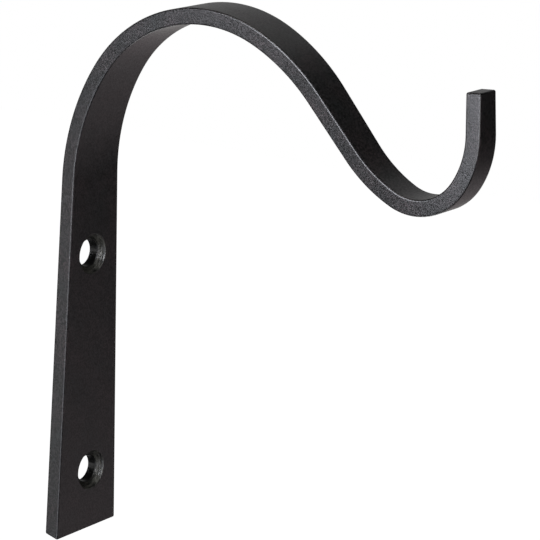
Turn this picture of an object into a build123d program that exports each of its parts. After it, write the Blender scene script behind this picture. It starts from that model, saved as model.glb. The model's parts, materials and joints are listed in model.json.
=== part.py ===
from build123d import *
import os

# A wall hook for hanging plants: one flat steel bar, cut to a long taper, drilled
# and countersunk twice at its wide end, then bent up, over and out into an arch
# that dips into a small upturned hook. The taper is a single slanting cut: one edge
# of the bar stays straight, so two bars can be cut from one strip with no waste.
# All lengths are in millimetres and all angles in degrees.
#
# Frame: the wall is the plane x = 0, on which the back of the foot lies. The hook
# reaches out along +X, +Z is up, and the bar's straight edge lies on the +Y side.
# The origin is on the wall, midway between the two screw holes.

# The flat bar before bending
bar_thickness = 4.4
foot_width = 25.4
tip_width = 7.3
long_edge_break = 0.5  # the bevel that takes the sharpness off the edges along the bar
end_edge_break = 0.4  # the same round its two sheared ends

# The straight foot, which lies on the wall
foot_length = 101.5
foot_end_rise = 1.1  # how much the sheared lower end climbs from its front to its back

# The arch, bent away from the wall in three flowing bends, and the straight reach
# that leads down from it. Every bend's radius is measured to the bar's middle line,
# which runs midway through its thickness.
shoulder_radius = 58.8
shoulder_turn = 32.0
crown_radius = 38.3
crown_turn = 84.3
brow_radius = 53.6
brow_turn = 23.5
reach_length = 17.4

# The upturned hook, bent the other way
throat_radius = 38.4
throat_turn = 23.5
bowl_radius = 14.1
bowl_turn = 84.5
lip_radius = 23.0
lip_turn = 35.6
tip_length = 10.7

# The two countersunk screw holes, in line with the bar's straight edge
edge_to_holes = 10.7
hole_spacing = 62.8
lower_hole_height = 17.1  # above the foot's lower end
screw_bore_diameter = 7.7
countersink_diameter = 11.3
countersink_angle = 90.0  # the whole angle of the cone
rim_radius = 0.25  # the broken edge round each countersink's mouth

foot_bottom = -hole_spacing / 2 - lower_hole_height


def straight(before, length):
    """A straight run that carries on smoothly from the end of the run before it."""
    return Line(before @ 1, before @ 1 + (before % 1) * length)


def bend(before, radius, turn):
    """An arc that carries on smoothly from the end of the run before it."""
    return JernArc(before @ 1, before % 1, radius, turn)


def middle_line():
    """The bar's middle line from foot to tip: tangent runs in the plane of the screw holes."""
    foot_start = Vector(bar_thickness / 2, foot_bottom)
    foot = Line(foot_start, foot_start + Vector(0, foot_length))
    shoulder = bend(foot, shoulder_radius, -shoulder_turn)
    crown = bend(shoulder, crown_radius, -crown_turn)
    brow = bend(crown, brow_radius, -brow_turn)
    reach = straight(brow, reach_length)
    throat = bend(reach, throat_radius, throat_turn)
    bowl = bend(throat, bowl_radius, bowl_turn)
    lip = bend(bowl, lip_radius, lip_turn)
    tip = straight(lip, tip_length)
    return Plane.XZ * Wire([foot, shoulder, crown, brow, reach, throat, bowl, lip, tip])


def cross_section(line, place, width):
    """The bar's section square to its middle line, at the start (place 0) or the end (place 1).

    Its far side lies on the bar's straight edge, whatever its width.
    """
    straight_edge = line @ place + Vector(0, edge_to_holes, 0)
    across = Plane(origin=straight_edge, x_dir=(0, 1, 0), z_dir=line % place)
    flat = Rectangle(width, bar_thickness, align=(Align.MAX, Align.CENTER))
    return across * chamfer(flat.vertices(), min(long_edge_break, 0.4 * bar_thickness))


def tapered_bar(line):
    """The bent bar, whose near edge draws in evenly along its whole developed length."""
    foot_end = cross_section(line, 0, foot_width)
    tip_end = cross_section(line, 1, tip_width)
    return sweep([foot_end, tip_end], path=line, multisection=True)


def shear_waste():
    """The thin wedge that the slanting shear takes off the foot's lower end."""
    corners = [(0, foot_bottom), (bar_thickness, foot_bottom), (0, foot_bottom + foot_end_rise)]
    wedge = make_face(Polyline(*corners, close=True))
    return extrude(Plane.XZ * wedge, foot_width, both=True)


def break_end_edges(bar, line):
    """The bar with the sharp edges round its two end faces broken."""
    foot_face = bar.faces().sort_by(Axis.Z)[0]
    tip_face = bar.faces().sort_by_distance(line @ 1)[0]
    size = min(end_edge_break, 0.8 * long_edge_break)
    return chamfer(foot_face.edges() + tip_face.edges(), size)


def screw_hole(height):
    """One screw hole, drilled right through along X and countersunk from the front."""
    mouth = Plane(origin=(bar_thickness, 0, height), x_dir=(0, 1, 0), z_dir=(1, 0, 0))
    return mouth * CounterSinkHole(
        radius=screw_bore_diameter / 2,
        counter_sink_radius=countersink_diameter / 2,
        depth=2 * bar_thickness,
        counter_sink_angle=countersink_angle,
    )


def break_countersink_rims(bar):
    """The bar with the sharp mouth of each countersink broken."""
    front = bar.edges().filter_by(GeomType.CIRCLE).filter_by_position(
        Axis.X, bar_thickness, bar_thickness
    )
    rims = [edge for edge in front if abs(edge.radius - countersink_diameter / 2) < 0.001]
    return fillet(rims, rim_radius)


bar_line = middle_line()
plant_hook = tapered_bar(bar_line) - shear_waste()
plant_hook = break_end_edges(plant_hook, bar_line)
for height in (-hole_spacing / 2, hole_spacing / 2):
    plant_hook -= screw_hole(height)
plant_hook = break_countersink_rims(plant_hook)

os.makedirs("parts", exist_ok=True)
export_step(plant_hook, "parts/plant_hook.step")
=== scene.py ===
# %% [markdown]
# # A wall hook for hanging plants
#
# The real hook is one flat steel bar. It is cut to a long taper, drilled and
# countersunk twice at its wide end, bent into an arch with a small upturned hook,
# and powder coated in satin black. The taper is a single slanting cut: one edge of
# the bar stays straight, and both screw holes are in line with that edge. Nothing on
# the hook moves and nothing is fixed to it, so the whole look rests on three things:
# the flow of the bends, the small rounds along its edges, and the fine grain of the
# coat.
#
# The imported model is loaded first. It is the frame that every size is held to:
# the wall is the plane x = 0, the hook reaches out along +X, and +Z is up.

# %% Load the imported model
import json
from math import cos, hypot, pi, radians, sin, tan

import bmesh
import bpy
from mathutils import Matrix, Vector


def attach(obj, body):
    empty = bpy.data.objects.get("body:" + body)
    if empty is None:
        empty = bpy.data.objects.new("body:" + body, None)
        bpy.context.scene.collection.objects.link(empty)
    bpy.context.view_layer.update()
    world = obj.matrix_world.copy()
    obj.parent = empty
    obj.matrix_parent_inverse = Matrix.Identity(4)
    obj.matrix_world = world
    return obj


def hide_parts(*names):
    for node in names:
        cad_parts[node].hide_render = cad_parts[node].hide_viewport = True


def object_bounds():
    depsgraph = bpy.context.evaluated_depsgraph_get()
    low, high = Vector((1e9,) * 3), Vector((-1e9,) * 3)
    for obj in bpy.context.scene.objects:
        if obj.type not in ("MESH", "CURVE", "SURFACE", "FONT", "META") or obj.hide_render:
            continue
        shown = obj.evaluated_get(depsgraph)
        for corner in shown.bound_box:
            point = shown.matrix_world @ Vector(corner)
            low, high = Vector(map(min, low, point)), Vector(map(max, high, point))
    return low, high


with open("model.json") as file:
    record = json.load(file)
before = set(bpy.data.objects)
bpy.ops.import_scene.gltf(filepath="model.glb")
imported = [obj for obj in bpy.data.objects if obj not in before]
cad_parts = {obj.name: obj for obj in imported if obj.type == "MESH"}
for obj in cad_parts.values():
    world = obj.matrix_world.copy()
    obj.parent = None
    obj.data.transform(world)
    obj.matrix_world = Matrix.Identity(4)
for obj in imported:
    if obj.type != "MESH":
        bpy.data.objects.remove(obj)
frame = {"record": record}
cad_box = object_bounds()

mm = 0.001
print("CAD box, mm:", [[round(value / mm, 2) for value in corner] for corner in cad_box])

# %% [markdown]
# ## The sizes of the bar
#
# A smith would note down the flat bar's section, its taper, and then each bend in
# the order in which it is made. The same few sizes are enough here. They are lengths
# in metres and angles in radians, and a bend's radius is that of the middle line.
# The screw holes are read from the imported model, so that they can't drift away from
# it, and the origin lies midway between them. The bar's straight edge is placed from
# the holes, on their +Y side.

# %% Sizes
bar_thickness = 4.4 * mm
foot_width = 25.4 * mm
tip_width = 7.3 * mm
edge_to_holes = 10.7 * mm
long_edge_round = 0.5 * mm
end_edge_round = 0.5 * mm
bore_back_round = 0.12 * mm
foot_end_rise = 1.1 * mm
lower_hole_height = 17.1 * mm  # above the foot's lower end

countersink_radius = 5.65 * mm
countersink_half_angle = radians(45.0)
rim_round = 0.25 * mm

screw_pattern = next(m for m in frame["record"]["mounts"] if m["name"] == "screw_holes")
hole_spacing = screw_pattern["dims"]["spacing_y_mm"] * mm
bore_radius = screw_pattern["dims"]["hole_r_mm"] * mm
foot_bottom = -hole_spacing / 2 - lower_hole_height
print(f"foot bottom {foot_bottom / mm:.2f} mm, holes {hole_spacing / mm:.1f} mm apart")

# %% [markdown]
# ## A coat that is almost black, with a grain
#
# Powder is sprayed on dry and melted in an oven. It draws together into a skin with a
# fine, even grain and a satin sheen. Seen close, the grain shows as tiny light specks
# wherever a lamp is mirrored, and from further off it only softens the highlights.
#
# A picture of a coat could be wrapped round the bar, but it would stretch in the bends.
# Noise that is worked out from the place in space has no seams and keeps its scale, so
# the coat is built from it: a grain in relief, specks of a dustier black between darker
# pits, a gentle ripple, and broad, barely visible patches where the black is warmer.
#
# The powder is thin inside the screw holes, so the rings that the cutting tool left on
# the cones show through there, with greyer ridges. The bores and the grooves between
# the ridges are painted near-black, as painted shade. The rings are noise too, but
# its place is measured from the nearer hole's axis, which draws it out into rings.

# %% Helpers for node trees
def add(tree, kind, inputs=None, **settings):
    """A new node, with its settings made and its inputs joined to sockets or set to values."""
    node = tree.nodes.new(kind)
    for name, value in settings.items():
        setattr(node, name, value)
    for name, value in (inputs or {}).items():
        if isinstance(value, bpy.types.NodeSocket):
            tree.links.new(value, node.inputs[name])
        else:
            node.inputs[name].default_value = value
    return node


def blend_colours(tree, amount, first, second):
    """The socket of a colour that goes from first to second as amount goes from 0 to 1."""
    # 6, 7 and 2 are the colour sockets of a Mix node, which has some for each kind of value
    mixed = add(tree, "ShaderNodeMix", {0: amount, 6: first, 7: second}, data_type="RGBA")
    return mixed.outputs[2]


def maths(tree, operation, first, second=0.0):
    """The socket of a number that one Math node works out."""
    return add(tree, "ShaderNodeMath", {0: first, 1: second}, operation=operation).outputs[0]


def spread(tree, value, span, new_span=(0.0, 1.0)):
    """The socket of a value stretched from one span to another, and held inside it."""
    made = add(tree, "ShaderNodeMapRange", {
        "Value": value,
        "From Min": span[0],
        "From Max": span[1],
        "To Min": new_span[0],
        "To Max": new_span[1],
    })
    return made.outputs["Result"]


def noise(tree, place, feature_size, detail):
    """The socket of a noise whose features have the size that is given."""
    made = add(tree, "ShaderNodeTexNoise", {
        "Vector": place,
        "Scale": 1.0 / feature_size,
        "Detail": detail,
        "Roughness": 0.55,
    })
    return made.outputs["Fac"]


# %% The black powder coat
pit_black = (0.0003, 0.0003, 0.0003, 1)
coat_black = (0.0098, 0.0108, 0.0111, 1)
coat_warm_black = (0.0186, 0.0143, 0.0151, 1)
# painted shade: the near-black of the bore walls and of the grooves between the cone's rings
hole_shade_black = (0.001, 0.001, 0.001, 1)
ridge_grey = (0.038, 0.0375, 0.032, 1)

grain_size = 0.40 * mm
speck_size = 0.50 * mm
ripple_size = 1.6 * mm
patch_size = 9.0 * mm
ring_width = 0.34 * mm
ring_length = 8 * ring_width  # how far a ring runs before it changes

# a noise keeps near the middle of 0 to 1, so only its busy span is used
grain_span = (0.30, 0.70)
speck_span = (0.42, 0.58)
patch_span = (0.35, 0.65)
ring_span = (0.35, 0.65)

grain_roughness = (0.28, 0.42)
patch_roughness = (-0.015, 0.015)
ripple_strength = 0.35
ripple_depth = 0.03 * mm
grain_depth = 0.03 * mm
ring_depth = 0.40 * mm


def turned_rings(tree, place):
    """The tool's rings, and how much a point lies inside a screw hole and on its cone.

    All three are sockets of values from 0 to 1. The inside share, where the hole is
    painted near-black as painted shade, fades out over the rim of the cone's mouth,
    and again just in front of the small round at the bore's back.
    """
    x, y, z = add(tree, "ShaderNodeSeparateXYZ", {"Vector": place}).outputs
    above = maths(tree, "SUBTRACT", maths(tree, "ABSOLUTE", z), hole_spacing / 2)
    squares = [maths(tree, "MULTIPLY", side, side) for side in (y, above)]
    from_axis = maths(tree, "SQRT", maths(tree, "ADD", *squares))
    mouth = countersink_radius + 0.5 * rim_round
    in_mouth = spread(tree, from_axis, (mouth - rim_round, mouth), (1.0, 0.0))
    off_wall = spread(tree, x, (bore_back_round, 3 * bore_back_round))
    # inside: where the hole's painted shade and its rings go
    inside = maths(tree, "MULTIPLY", in_mouth, off_wall)
    on_cone = spread(tree, from_axis, (1.01 * bore_radius, 1.10 * bore_radius))
    drawn_out = add(tree, "ShaderNodeCombineXYZ", {
        "X": maths(tree, "DIVIDE", from_axis, ring_width),
        "Y": maths(tree, "DIVIDE", y, ring_length),
        "Z": maths(tree, "DIVIDE", above, ring_length),
    })
    return noise(tree, drawn_out.outputs["Vector"], 1.0, 2.0), inside, on_cone


# %% Put the coat together
def powder_coat():
    """Satin black coat with a fine grain, thin in the screw holes, with painted shade there.
    """
    material = bpy.data.materials.new("satin_black_powder")
    material.use_nodes = True
    tree = material.node_tree
    tree.nodes.clear()
    place = add(tree, "ShaderNodeTexCoord").outputs["Object"]
    grain = noise(tree, place, grain_size, 2.0)
    ripple = noise(tree, place, ripple_size, 1.0)
    patches = noise(tree, place, patch_size, 6.0)
    rings, inside, on_cone = turned_rings(tree, place)
    warmth = spread(tree, patches, patch_span)
    specks = spread(tree, noise(tree, place, speck_size, 1.0), speck_span)
    black = blend_colours(tree, warmth, coat_black, coat_warm_black)
    coated = blend_colours(tree, specks, pit_black, black)
    ridges = maths(tree, "MULTIPLY", spread(tree, rings, ring_span), on_cone)
    # the holes' colour: painted shade, near-black, with the rings' greyer ridges on the cones
    shaded_hole = blend_colours(tree, ridges, hole_shade_black, ridge_grey)
    colour = blend_colours(tree, inside, coated, shaded_hole)
    fine = spread(tree, grain, grain_span, grain_roughness)
    broad = spread(tree, patches, patch_span, patch_roughness)
    roughness = maths(tree, "ADD", fine, broad)
    gentle = add(tree, "ShaderNodeBump", {
        "Strength": ripple_strength,
        "Distance": ripple_depth,
        "Height": ripple,
    })
    grained = add(tree, "ShaderNodeBump", {
        "Strength": 1.0,
        "Distance": grain_depth,
        "Height": grain,
        "Normal": gentle.outputs["Normal"],
    })
    ringed = add(tree, "ShaderNodeBump", {
        "Strength": inside,
        "Distance": ring_depth,
        "Height": rings,
        "Normal": grained.outputs["Normal"],
    })
    surface = add(tree, "ShaderNodeBsdfPrincipled", {
        "Base Color": colour,
        "Roughness": roughness,
        "Normal": ringed.outputs["Normal"],
        "IOR": 1.5,
    })
    output = add(tree, "ShaderNodeOutputMaterial")
    tree.links.new(surface.outputs["BSDF"], output.inputs["Surface"])
    return material


coat = powder_coat()
print("coat:", coat.name, "with", len(coat.node_tree.nodes), "nodes")

# %% [markdown]
# ## The middle line of the bar
#
# On the real hook the bar leaves the wall, climbs over in three bends that flow into
# each other, runs down in a short straight reach, and is curled up again in three
# bends that tighten and then open. The bends meet without a corner.
#
# The line could be drawn by eye with a few dozen points. A walk is truer: each run
# starts where the last one ended and keeps its direction, so nothing can kink. It is
# stored as a Bezier curve with one segment for each run. A segment follows an arc when
# its handles are 4/3 tan(turn / 4) times the radius long.

# %% The runs, from the foot to the tip
runs = [
    ("straight", 101.5 * mm),  # the foot, which lies on the wall
    ("bend", 58.8 * mm, radians(32.0)),  # the shoulder
    ("bend", 38.3 * mm, radians(84.3)),  # the crown
    ("bend", 53.6 * mm, radians(23.5)),  # the brow
    ("straight", 17.4 * mm),  # the reach
    ("bend", 38.4 * mm, radians(-23.5)),  # the throat
    ("bend", 14.1 * mm, radians(-84.5)),  # the bowl, on which a pot's loop sits
    ("bend", 23.0 * mm, radians(-35.6)),  # the lip
    ("straight", 10.7 * mm),  # the tip
]


def along_bend(radius, turn):
    """Where a bend that starts at the origin towards +Z ends, and how long its handles are.

    A bend with a turn above zero tips over towards +X, and below zero it tips back.
    """
    side = 1 if turn > 0 else -1
    end = Vector((side * radius * (1 - cos(turn)), 0, radius * sin(abs(turn))))
    return end, 4 / 3 * tan(abs(turn) / 4) * radius


# %% Walk along the runs
def middle_line(runs, start):
    """The bar's middle line in the plane y = 0, as a Bezier curve object."""
    curve = bpy.data.curves.new("middle_line", "CURVE")
    curve.dimensions = "3D"
    curve.resolution_u = 40  # short straight steps in each run
    spline = curve.splines.new("BEZIER")
    spline.bezier_points.add(len(runs))
    points = spline.bezier_points
    facing = Matrix.Identity(3)
    points[0].co = start
    points[0].handle_left = start
    for before, after, run in zip(points[:-1], points[1:], runs):
        kind, size, *turns = run
        if kind == "straight":
            end, handle, turn = Vector((0, 0, size)), size / 3, 0.0
        else:
            turn = turns[0]
            end, handle = along_bend(size, turn)
        after.co = before.co + facing @ end
        before.handle_right = before.co + facing @ Vector((0, 0, handle))
        facing = Matrix.Rotation(turn, 3, "Y") @ facing
        after.handle_left = after.co - facing @ Vector((0, 0, handle))
        if kind == "straight":
            before.handle_right_type = "VECTOR"
            after.handle_left_type = "VECTOR"
    points[-1].handle_right = points[-1].co + facing @ Vector((0, 0, mm))
    line = bpy.data.objects.new("middle_line", curve)
    bpy.context.scene.collection.objects.link(line)
    return line


line = middle_line(runs, Vector((bar_thickness / 2, 0, foot_bottom)))
print(f"middle line: {len(runs)} runs, {line.data.splines[0].calc_length() / mm:.1f} mm long")

# %% [markdown]
# ## The shape that the drill and the countersink leave
#
# Each screw hole is a straight bore that opens into a cone, so that a screw's head
# sinks in flush. The coat rounds the cone's mouth a little, and that round catches a
# thin ring of light.
#
# The hole is cut with a plug of its own shape. A plug is a lathe form: an outline
# turned about the hole's axis. Its outline has the bore, the cone, the small arc of
# the rim, and some length to spare at both ends so that it cuts right through.

# %% The plug's outline
def plug_outline():
    """(x, radius) of the plug from behind the wall face to in front of the bar."""
    spare = 1.0 * mm
    cone_depth = (countersink_radius - bore_radius) / tan(countersink_half_angle)
    mouth_radius = countersink_radius + rim_round * tan(countersink_half_angle / 2)
    outline = [(-spare, bore_radius), (bar_thickness - cone_depth, bore_radius)]
    steps = 6
    for step in range(steps + 1):
        angle = (radians(90) - countersink_half_angle) * (1 - step / steps)
        outline.append((
            bar_thickness - rim_round * (1 - cos(angle)),
            mouth_radius - rim_round * sin(angle),
        ))
    outline.append((bar_thickness + spare, mouth_radius))
    return outline


def turned(name, outline, segments):
    """A closed solid turned about the X axis."""
    verts = []
    for x, radius in outline:
        for index in range(segments):
            angle = radians(360) * index / segments
            verts.append((x, radius * cos(angle), radius * sin(angle)))
    faces = []
    for ring in range(len(outline) - 1):
        for index in range(segments):
            following = (index + 1) % segments
            low = ring * segments
            high = low + segments
            faces.append((low + index, high + index, high + following, low + following))
    last_ring = (len(outline) - 1) * segments
    faces.append(tuple(range(segments)))
    faces.append(tuple(reversed(range(last_ring, last_ring + segments))))
    mesh = bpy.data.meshes.new(name)
    mesh.from_pydata(verts, [], faces)
    mesh.flip_normals()
    plug = bpy.data.objects.new(name, mesh)
    bpy.context.scene.collection.objects.link(plug)
    return plug


plug = turned("screw_hole_plug", plug_outline(), segments=96)
print("plug:", len(plug.data.polygons), "faces, depth", round(bar_thickness / mm, 2), "mm")

# %% [markdown]
# ## A tree that sweeps, tapers and drills the bar
#
# The bar was cut to its taper while it was flat and bent afterwards. So its width
# falls with the length along the bar, not with height or reach, and its thickness
# never changes. A plain sweep would keep one section all the way, and scaling that
# section would thin the bar and shrink its edge rounds too.
#
# This Geometry Nodes tree sweeps the widest section and then draws its near half in,
# by an amount that grows evenly along the line, while the far half stays. The corner
# rounds move but keep their size. The tree shifts the bar sideways until its straight
# edge lies at its distance from the screw holes, slants the sheared lower end, and
# sets one plug on each screw hole before cutting.

# %% The tree's inputs
def bar_tree():
    """An empty tree whose named inputs are the bar's sizes."""
    tree = bpy.data.node_groups.new("bent_tapered_bar", "GeometryNodeTree")
    face = tree.interface
    face.new_socket("Middle Line", in_out="INPUT", socket_type="NodeSocketGeometry")
    for name in (
        "Thickness", "Foot Width", "Tip Width", "Straight Edge",
        "Edge Round", "Foot End Rise", "Hole Spacing",
    ):
        face.new_socket(name, in_out="INPUT", socket_type="NodeSocketFloat")
    face.new_socket("Edge Steps", in_out="INPUT", socket_type="NodeSocketInt")
    face.new_socket("Hole Count", in_out="INPUT", socket_type="NodeSocketInt")
    face.new_socket("Hole Plug", in_out="INPUT", socket_type="NodeSocketObject")
    face.new_socket("Coat", in_out="INPUT", socket_type="NodeSocketMaterial")
    face.new_socket("Bar", in_out="OUTPUT", socket_type="NodeSocketGeometry")
    return tree


# %% Sweep the section along the line
def swept_bar(tree, sizes):
    """The bar at its foot width all the way, and each point's share of the way along it."""
    upright = add(tree, "GeometryNodeSetCurveNormal", {
        "Curve": sizes["Middle Line"],
        "Normal": (0, 1, 0),
    }, mode="FREE")
    capture = add(tree, "GeometryNodeCaptureAttribute", {"Geometry": upright.outputs["Curve"]})
    capture.capture_items.new("FLOAT", "Along")
    way = add(tree, "GeometryNodeSplineParameter")
    tree.links.new(way.outputs["Factor"], capture.inputs["Along"])
    flat = add(tree, "GeometryNodeCurvePrimitiveQuadrilateral", {
        "Width": sizes["Foot Width"],
        "Height": sizes["Thickness"],
    })
    section = add(tree, "GeometryNodeFilletCurve", {
        "Curve": flat.outputs["Curve"],
        "Count": sizes["Edge Steps"],
        "Radius": sizes["Edge Round"],
    }, mode="POLY")
    sweep = add(tree, "GeometryNodeCurveToMesh", {
        "Curve": capture.outputs["Geometry"],
        "Profile Curve": section.outputs["Curve"],
        "Fill Caps": True,
    })
    return sweep.outputs["Mesh"], capture.outputs["Along"]


# %% Taper it and slant its lower end
def tapered_bar(tree, sizes, bar, along):
    """The swept bar with its near edge drawn in evenly and its far edge left straight."""
    place = add(tree, "GeometryNodeInputPosition")
    split = add(tree, "ShaderNodeSeparateXYZ", {"Vector": place.outputs["Position"]})
    narrowing = maths(tree, "SUBTRACT", sizes["Foot Width"], sizes["Tip Width"])
    near_side = maths(tree, "LESS_THAN", split.outputs["Y"], 0.0)
    drawn_in = maths(tree, "MULTIPLY", maths(tree, "MULTIPLY", narrowing, along), near_side)
    half_width = maths(tree, "MULTIPLY", sizes["Foot Width"], 0.5)
    aside = maths(tree, "SUBTRACT", sizes["Straight Edge"], half_width)
    sideways = maths(tree, "ADD", drawn_in, aside)
    offset = add(tree, "ShaderNodeCombineXYZ", {"Y": sideways})
    tapered = add(tree, "GeometryNodeSetPosition", {
        "Geometry": bar,
        "Offset": offset.outputs["Vector"],
    })
    return tapered.outputs["Geometry"]


def slanted_foot(tree, sizes, bar, along):
    """The bar with its sheared lower end climbing from the front to the back."""
    place = add(tree, "GeometryNodeInputPosition")
    split = add(tree, "ShaderNodeSeparateXYZ", {"Vector": place.outputs["Position"]})
    depth = maths(tree, "DIVIDE", split.outputs["X"], sizes["Thickness"])
    behind = maths(tree, "SUBTRACT", 1.0, depth)
    climb = maths(tree, "MULTIPLY", behind, sizes["Foot End Rise"])
    offset = add(tree, "ShaderNodeCombineXYZ", {"Z": climb})
    lower_end = maths(tree, "LESS_THAN", along, 0.0001)  # the first section alone
    slanted = add(tree, "GeometryNodeSetPosition", {
        "Geometry": bar,
        "Selection": lower_end,
        "Offset": offset.outputs["Vector"],
    })
    return slanted.outputs["Geometry"]


# %% Drill and countersink it
def drilled_bar(tree, sizes, bar):
    """The bar with the plug's shape cut out at each screw hole."""
    lowest = maths(tree, "MULTIPLY", sizes["Hole Spacing"], -0.5)
    start = add(tree, "ShaderNodeCombineXYZ", {"Z": lowest})
    step = add(tree, "ShaderNodeCombineXYZ", {"Z": sizes["Hole Spacing"]})
    centres = add(tree, "GeometryNodeMeshLine", {
        "Count": sizes["Hole Count"],
        "Start Location": start.outputs["Vector"],
        "Offset": step.outputs["Vector"],
    })
    shape = add(tree, "GeometryNodeObjectInfo", {
        "Object": sizes["Hole Plug"],
        "As Instance": True,
    })
    plugs = add(tree, "GeometryNodeInstanceOnPoints", {
        "Points": centres.outputs["Mesh"],
        "Instance": shape.outputs["Geometry"],
    })
    cutters = add(tree, "GeometryNodeRealizeInstances", {
        "Geometry": plugs.outputs["Instances"],
    })
    cut = add(tree, "GeometryNodeMeshBoolean", operation="DIFFERENCE", solver="EXACT")
    tree.links.new(bar, cut.inputs["Mesh 1"])
    tree.links.new(cutters.outputs["Geometry"], cut.inputs["Mesh 2"])
    return cut.outputs["Mesh"]


# %% Put the tree together
def finish_tree(tree):
    """Join the steps between the tree's inputs and its output."""
    sizes = add(tree, "NodeGroupInput").outputs
    bar, along = swept_bar(tree, sizes)
    bar = tapered_bar(tree, sizes, bar, along)
    bar = slanted_foot(tree, sizes, bar, along)
    bar = drilled_bar(tree, sizes, bar)
    whole = add(tree, "GeometryNodeRealizeInstances", {"Geometry": bar})
    coated = add(tree, "GeometryNodeSetMaterial", {
        "Geometry": whole.outputs["Geometry"],
        "Material": sizes["Coat"],
    })
    add(tree, "NodeGroupOutput", {"Bar": coated.outputs["Geometry"]})
    return tree


tree = finish_tree(bar_tree())
print("tree:", tree.name, "with", len(tree.nodes), "nodes")

# %% [markdown]
# ## From the tree to a plain mesh
#
# The tree's inputs are set by each socket's identifier, because that is the name under
# which a modifier keeps its values. The result is then read back as an ordinary mesh,
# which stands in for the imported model's plainer bar. The line and the plug are only
# tools, so they are deleted.

# %% Set the inputs and read the mesh back
def made_by_tree(name, owner, tree, values):
    """A new object that holds what the tree makes of its owner, as a plain mesh."""
    modifier = owner.modifiers.new(tree.name, "NODES")
    modifier.node_group = tree
    for item in tree.interface.items_tree:
        if item.in_out == "INPUT" and item.name in values:
            modifier[item.identifier] = values[item.name]
    evaluated = owner.evaluated_get(bpy.context.evaluated_depsgraph_get())
    mesh = bpy.data.meshes.new_from_object(evaluated)
    owner.modifiers.remove(modifier)
    if mesh.materials[0] is None:  # the swept curve brings an empty slot
        mesh.materials.pop(index=0)
    mesh.name = name
    made = bpy.data.objects.new(name, mesh)
    bpy.context.scene.collection.objects.link(made)
    return made


bar = made_by_tree("bent_bar", line, tree, {
    "Thickness": bar_thickness,
    "Foot Width": foot_width,
    "Tip Width": tip_width,
    "Straight Edge": edge_to_holes,
    "Edge Round": long_edge_round,
    "Edge Steps": 6,
    "Foot End Rise": foot_end_rise,
    "Hole Spacing": hole_spacing,
    "Hole Count": screw_pattern["dims"]["count"],
    "Hole Plug": plug,
    "Coat": coat,
})
for tool in (line, plug):
    bpy.data.objects.remove(tool)
print("bar:", len(bar.data.vertices), "vertices,", len(bar.data.polygons), "faces")

# %% [markdown]
# ## Rounds on the sheared ends, and clean shading
#
# A sheared end has sharp edges that are rubbed down before coating, and the coat
# rounds them further. The back of a bore lies against the wall and keeps a crisp edge,
# with only the coat's own small round.
#
# A Bevel modifier makes both. Edges where two faces meet more steeply than 60 degrees
# are the two ends and the backs of the bores, and each gets a weight, the share of the
# full round that it takes. A Weighted Normal modifier then lets the large flat faces
# keep their own direction, so that each small round alone carries the turn of the
# light.

# %% Choose the edges
steep_angle = radians(60)
smooth_angle = radians(32)  # faces that meet more gently than this are shaded as one


def weigh_edges(bar):
    """Give each steep edge its share of the round, and say how many there are."""
    shape = bmesh.new()
    shape.from_mesh(bar.data)
    share = shape.edges.layers.float.new("bevel_weight_edge")
    steep = [edge for edge in shape.edges if edge.calc_face_angle(0) > steep_angle]
    for edge in steep:
        middle = (edge.verts[0].co + edge.verts[1].co) / 2
        from_axis = hypot(middle.y, abs(middle.z) - hole_spacing / 2)
        at_bore = from_axis < 1.1 * bore_radius
        edge[share] = bore_back_round / end_edge_round if at_bore else 1.0
    shape.to_mesh(bar.data)
    shape.free()
    return len(steep)


print(weigh_edges(bar), "steep edges")


# %% Round the ends
def finish_edges(bar):
    """Smooth shading, rounded ends, and normals that keep the flats flat."""
    bar.data.shade_smooth()
    bar.data.set_sharp_from_angle(angle=smooth_angle)
    ends = bar.modifiers.new("rounded_ends", "BEVEL")
    ends.limit_method = "WEIGHT"
    ends.width = end_edge_round
    ends.segments = 5
    ends.use_clamp_overlap = False
    normals = bar.modifiers.new("flat_faces_stay_flat", "WEIGHTED_NORMAL")
    normals.mode = "FACE_AREA"
    normals.weight = 50
    normals.keep_sharp = True


finish_edges(bar)
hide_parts("plant_hook")
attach(bar, "root")
print("bar: rides on root and stands for plant_hook")

# %% [markdown]
# ## Floor, lights and camera
#
# Satin black shows little but what it mirrors, so a black object is lit by placing
# soft lamps where its faces look, and leaving the rest of the room dim. The lamps are
# named as somebody who faces the wall sees them: left is -Y, right is +Y, and the
# front is +X.
#
# The hook's narrow cut edge looks left, so a tall soft lamp and a small one nearer by
# stand there, slightly cool. The broad front of the foot mirrors the right of the room,
# where the lamps are wide and weak, and stays darker. A small lamp in front brightens
# the far side of each countersink and the lines along the edges. Of the rest, each
# lifts one stretch of the bends, and a weak light from the whole room keeps the back
# from going black. The floor is plain and pale, lies far below, and only the camera
# sees it, so no shadow touches the hook.

# %% The floor
floor_side = 12.0
floor_drop = 1.45  # how far below the hook it lies


def pale_floor():
    """A wide, plain, pale floor that only the camera sees."""
    half = floor_side / 2
    level = cad_box[0][2] - floor_drop
    mesh = bpy.data.meshes.new("floor")
    square = [(-half, -half), (half, -half), (half, half), (-half, half)]
    mesh.from_pydata([(x, y, level) for x, y in square], [], [(0, 1, 2, 3)])
    floor = bpy.data.objects.new("floor", mesh)
    bpy.context.scene.collection.objects.link(floor)
    floor.visible_glossy = False
    floor.visible_diffuse = False
    material = bpy.data.materials.new("pale_floor")
    material.use_nodes = True
    surface = material.node_tree.nodes["Principled BSDF"]
    surface.inputs["Base Color"].default_value = (0.9, 0.9, 0.9, 1)
    surface.inputs["Roughness"].default_value = 0.9
    surface.inputs["Emission Color"].default_value = (1, 1, 1, 1)
    surface.inputs["Emission Strength"].default_value = 1.0
    mesh.materials.append(material)
    return floor


floor = pale_floor()
print("floor at z =", round(floor.data.vertices[0].co.z, 3), "m")

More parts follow.
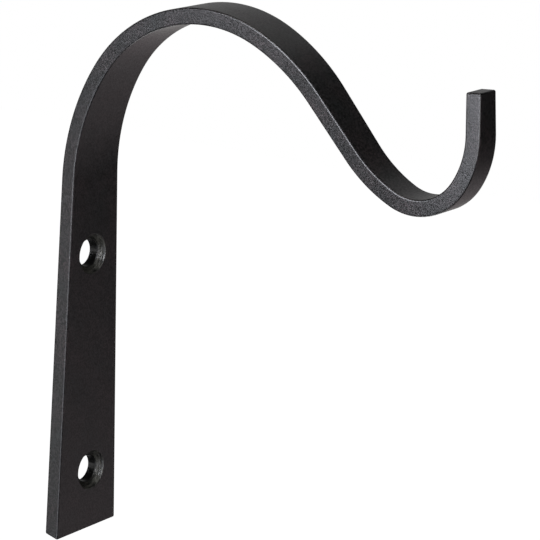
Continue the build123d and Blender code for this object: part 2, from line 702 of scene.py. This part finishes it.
# %% The lights
def soft_lamp(name, place, facing, width, height, brightness, colour=(1, 1, 1)):
    """A soft lamp: a rectangle, width across and height up, whose light goes along facing.

    Its brightness is that of its face, whatever its size, and 1 would look just white.
    """
    light = bpy.data.lights.new(name, "AREA")
    light.shape = "RECTANGLE"
    light.size = width
    light.size_y = height
    light.energy = brightness * pi * width * height
    light.color = colour
    lamp = bpy.data.objects.new(name, light)
    lamp.location = place
    lamp.rotation_euler = Vector(facing).to_track_quat("-Z", "Y").to_euler()
    lamp.visible_camera = False
    bpy.context.scene.collection.objects.link(lamp)
    return lamp


to_right, to_left = (0, 1, 0), (0, -1, 0)
to_wall, up, down = (-1, 0, 0), (0, 0, 1), (0, 0, -1)
cool, faintly_warm, warm = (0.96, 0.98, 1.06), (1.03, 1.01, 0.96), (1.08, 0.94, 0.98)

soft_lamp("tall_left_lamp", (0.46, -1.2, 0.03), to_right, 0.8, 2.4, 3.5, cool)
soft_lamp("small_left_lamp", (0.01, -0.4, 0.18), to_right, 0.2, 0.2, 23.0, cool)
soft_lamp("back_left_lamp", (-0.54, -0.6, -0.17), to_right, 0.4, 0.4, 1.3)
soft_lamp("wide_right_lamp", (-0.54, 1.2, 0.33), to_left, 1.2, 1.8, 0.36)
soft_lamp("back_right_lamp", (-0.54, 1.19, -0.27), to_left, 1.2, 0.6, 0.38, faintly_warm)
soft_lamp("low_right_lamp", (0.06, 1.2, -0.87), to_left, 2.4, 0.6, 0.36, warm)
soft_lamp("small_front_lamp", (0.86, -0.6, 0.23), to_wall, 0.3, 0.3, 13.7, faintly_warm)
soft_lamp("low_front_lamp", (1.26, 1.0, -0.77), to_wall, 0.4, 0.8, 1.3, warm)
soft_lamp("small_high_lamp", (0.06, -0.15, 0.43), down, 0.2, 0.1, 7.9, faintly_warm)
soft_lamp("low_lamp", (-0.24, 0.3, -1.17), up, 0.6, 0.6, 6.6)

# %% The room
def pale_room():
    """A room that is white to the camera, and fills the shadows with a faint even light."""
    world = bpy.data.worlds.new("room")
    bpy.context.scene.world = world
    world.use_nodes = True
    tree = world.node_tree
    tree.nodes.clear()
    dim = add(tree, "ShaderNodeBackground", {"Color": (1, 1, 1, 1), "Strength": 0.03})
    pale = add(tree, "ShaderNodeBackground", {"Color": (1, 1, 1, 1), "Strength": 1.0})
    eye = add(tree, "ShaderNodeLightPath").outputs["Is Camera Ray"]
    mix = add(tree, "ShaderNodeMixShader", {0: eye, 1: dim.outputs[0], 2: pale.outputs[0]})
    output = add(tree, "ShaderNodeOutputWorld")
    tree.links.new(mix.outputs[0], output.inputs["Surface"])


pale_room()
bpy.context.scene.view_settings.view_transform = "Standard"

# %% The camera
camera_azimuth = radians(-35.546)
camera_elevation = radians(14.477)
camera_roll = radians(1.482)
camera_distance = 677.816 * mm
camera_aim = Vector((64.659, 0, 37.151)) * mm
camera_lens = 172.106


def place_camera():
    """A long lens that looks slightly down on the hook from its front left."""
    data = bpy.data.cameras.new("camera")
    data.lens = camera_lens
    data.sensor_width = 36
    data.clip_start = 0.01
    data.clip_end = 60
    camera = bpy.data.objects.new("camera", data)
    level = cos(camera_elevation)
    looking = Vector((
        sin(camera_azimuth) * level,
        cos(camera_azimuth) * level,
        -sin(camera_elevation),
    ))
    camera.location = camera_aim - camera_distance * looking
    turn = looking.to_track_quat("-Z", "Y").to_matrix() @ Matrix.Rotation(camera_roll, 3, "Z")
    camera.rotation_euler = turn.to_euler()
    bpy.context.scene.collection.objects.link(camera)
    bpy.context.scene.camera = camera
    return camera


camera = place_camera()
print("camera at", [round(value / mm, 1) for value in camera.location], "mm")
